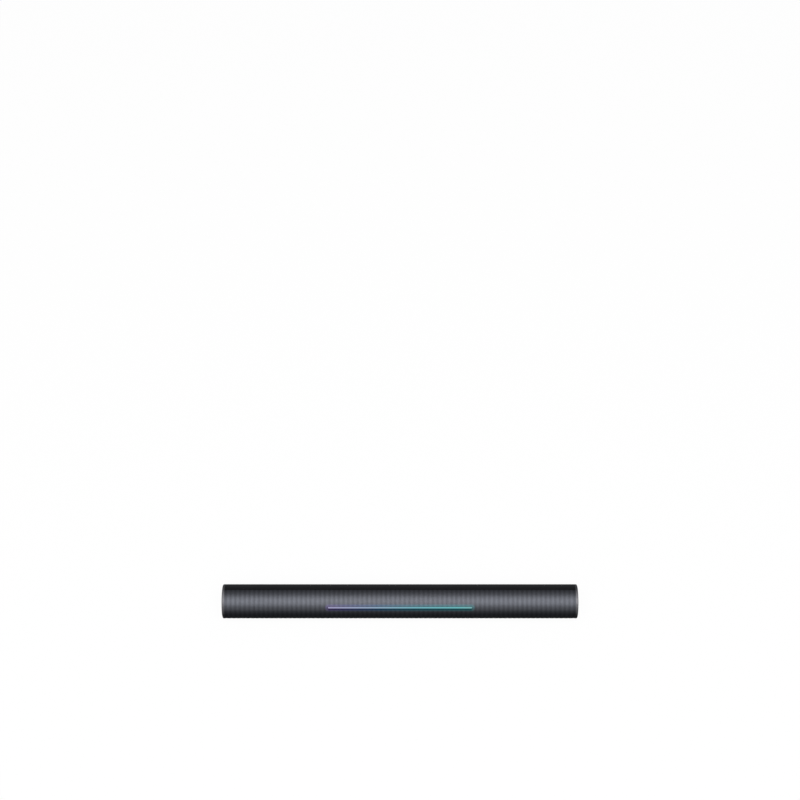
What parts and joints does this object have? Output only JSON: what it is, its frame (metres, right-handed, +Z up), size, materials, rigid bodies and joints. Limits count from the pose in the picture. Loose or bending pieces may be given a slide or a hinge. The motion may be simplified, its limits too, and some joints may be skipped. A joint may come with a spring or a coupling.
{
  "type": "monitor light bar",
  "caption": "Round desk bar for the foot of a monitor's column: ribbed acoustic grille, smooth rear housing, touch light strip, oval speakers and a flat pad at the back for the column.",
  "frame": {"origin": "under the middle of the bar, in the middle of its box, on the surface that it stands on", "axes": "+X along the bar to the right as seen from the front, -Y to the front, +Z up"},
  "size_m": [0.438, 0.042, 0.0391],
  "materials": {
    "grille": "anodised space grey, satin, finely perforated",
    "housing": "moulded, fine satin, near black",
    "rim": "anodised, brushed round, light grey",
    "end_cap": "moulded, satin",
    "rubber": "matt",
    "lens": "opal, lit from behind",
    "light_guide": "clear acrylic",
    "board": "solder mask",
    "film": "amber polyimide film",
    "spider_cloth": "corrugated, resin dipped",
    "foam": "closed cell foam",
    "cone": "pressed, matt",
    "lead": "insulated wire",
    "contact_block": "moulded with plated contacts",
    "screw": "blackened",
    "bracket": "dark plated",
    "steel": "zinc plated",
    "inner_plastic": "moulded, plain"
  },
  "bodies": {
    "bar": {"base_cover": "housing", "contact_lead": "lead", "cover_screw_1": "screw", "cover_screw_2": "screw", "cover_screw_3": "screw", "cover_screw_4": "screw", "cover_screw_5": "screw", "cover_screw_6": "screw", "foot_1": "rubber", "foot_2": "rubber", "foot_3": "rubber", "foot_4": "rubber", "front_frame": "inner_plastic", "front_grille": "grille", "left_baffle": "inner_plastic", "left_baffle_screw_1": "screw", "left_baffle_screw_2": "screw", "left_baffle_screw_3": "screw", "left_baffle_screw_4": "screw", "left_bracket_screw": "screw", "left_circuit_board": "board", "left_driver_basket": "steel", "left_driver_gasket": "foam", "left_driver_spider": "spider_cloth", "left_driver_surround": "rubber", "left_end_cap": "end_cap", "left_end_rim": "rim", "left_magnet_core": "steel", "left_magnet_yoke": "steel", "left_speaker_box": "inner_plastic", "left_speaker_lead": "lead", "light_board": "board", "light_guide": "light_guide", "neck_bracket": "bracket", "neck_connector": "contact_block", "rear_housing": "housing", "right_baffle": "inner_plastic", "right_baffle_screw_1": "screw", "right_baffle_screw_2": "screw", "right_baffle_screw_3": "screw", "right_baffle_screw_4": "screw", "right_bracket_screw": "screw", "right_circuit_board": "board", "right_driver_basket": "steel", "right_driver_gasket": "foam", "right_driver_spider": "spider_cloth", "right_driver_surround": "rubber", "right_end_cap": "end_cap", "right_end_rim": "rim", "right_magnet_core": "steel", "right_magnet_yoke": "steel", "right_speaker_box": "inner_plastic", "right_speaker_lead": "lead", "steel_plate": "steel", "strip_bezel": "inner_plastic", "strip_cable": "film", "strip_lens": "lens", "touch_sensor": "film"},
    "left_cone": {"left_driver_cone": "cone"},
    "right_cone": {"right_driver_cone": "cone"}
  },
  "joints": [
    {"name": "left_cone_travel", "type": "slide", "parent": "bar", "child": "left_cone", "axis": [0, -0.6428, 0.766], "range_m": [-0.0015, 0.0015], "stiffness_N_per_m": 200},
    {"name": "right_cone_travel", "type": "slide", "parent": "bar", "child": "right_cone", "axis": [0, -0.6428, 0.766], "range_m": [-0.0015, 0.0015], "stiffness_N_per_m": 200}
  ]
}
